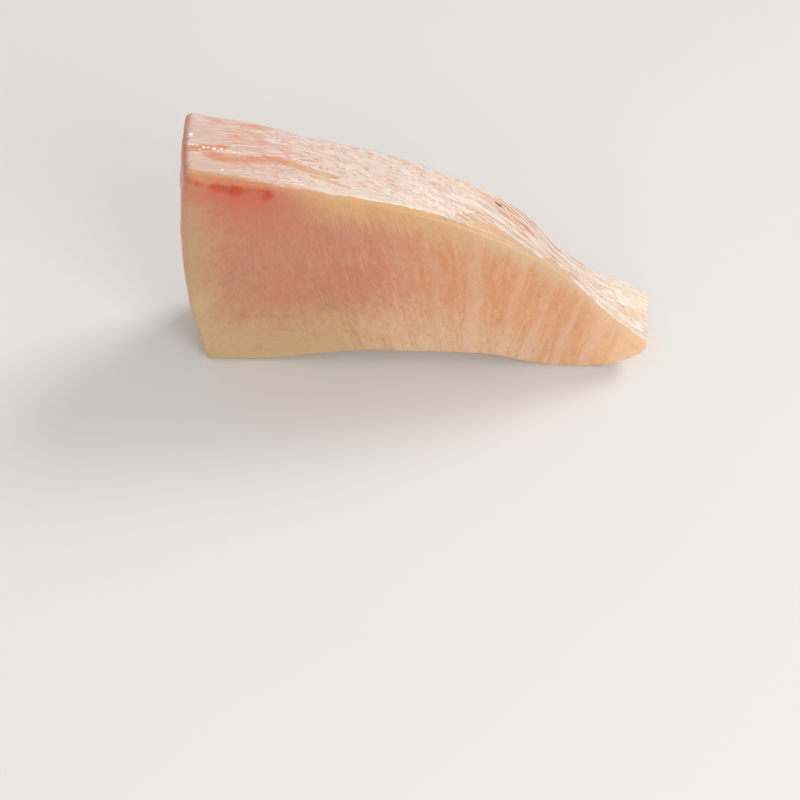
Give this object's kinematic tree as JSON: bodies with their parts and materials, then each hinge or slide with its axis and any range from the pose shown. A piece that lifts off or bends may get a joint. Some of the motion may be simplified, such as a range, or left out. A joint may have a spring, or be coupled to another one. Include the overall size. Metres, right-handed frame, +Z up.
{
  "type": "yellowtail belly sashimi slice",
  "caption": "Thick slice of raw fish belly standing on its lean edge: a tall loin end tapers to a thin flap, with a fibrous silver-skin side on top and two smooth knife faces.",
  "frame": {"origin": "on the surface the slice stands on, under the middle of its bounding box", "axes": "+Z up towards the skin side; +X along the slice from the thick loin end to the thin flap; the two knife faces look along -Y, the shown one, and +Y"},
  "size_m": [0.0744, 0.016, 0.0382],
  "materials": {
    "flesh": "satin"
  },
  "bodies": {
    "root": {"belly_slice": "flesh"}
  },
  "joints": []
}
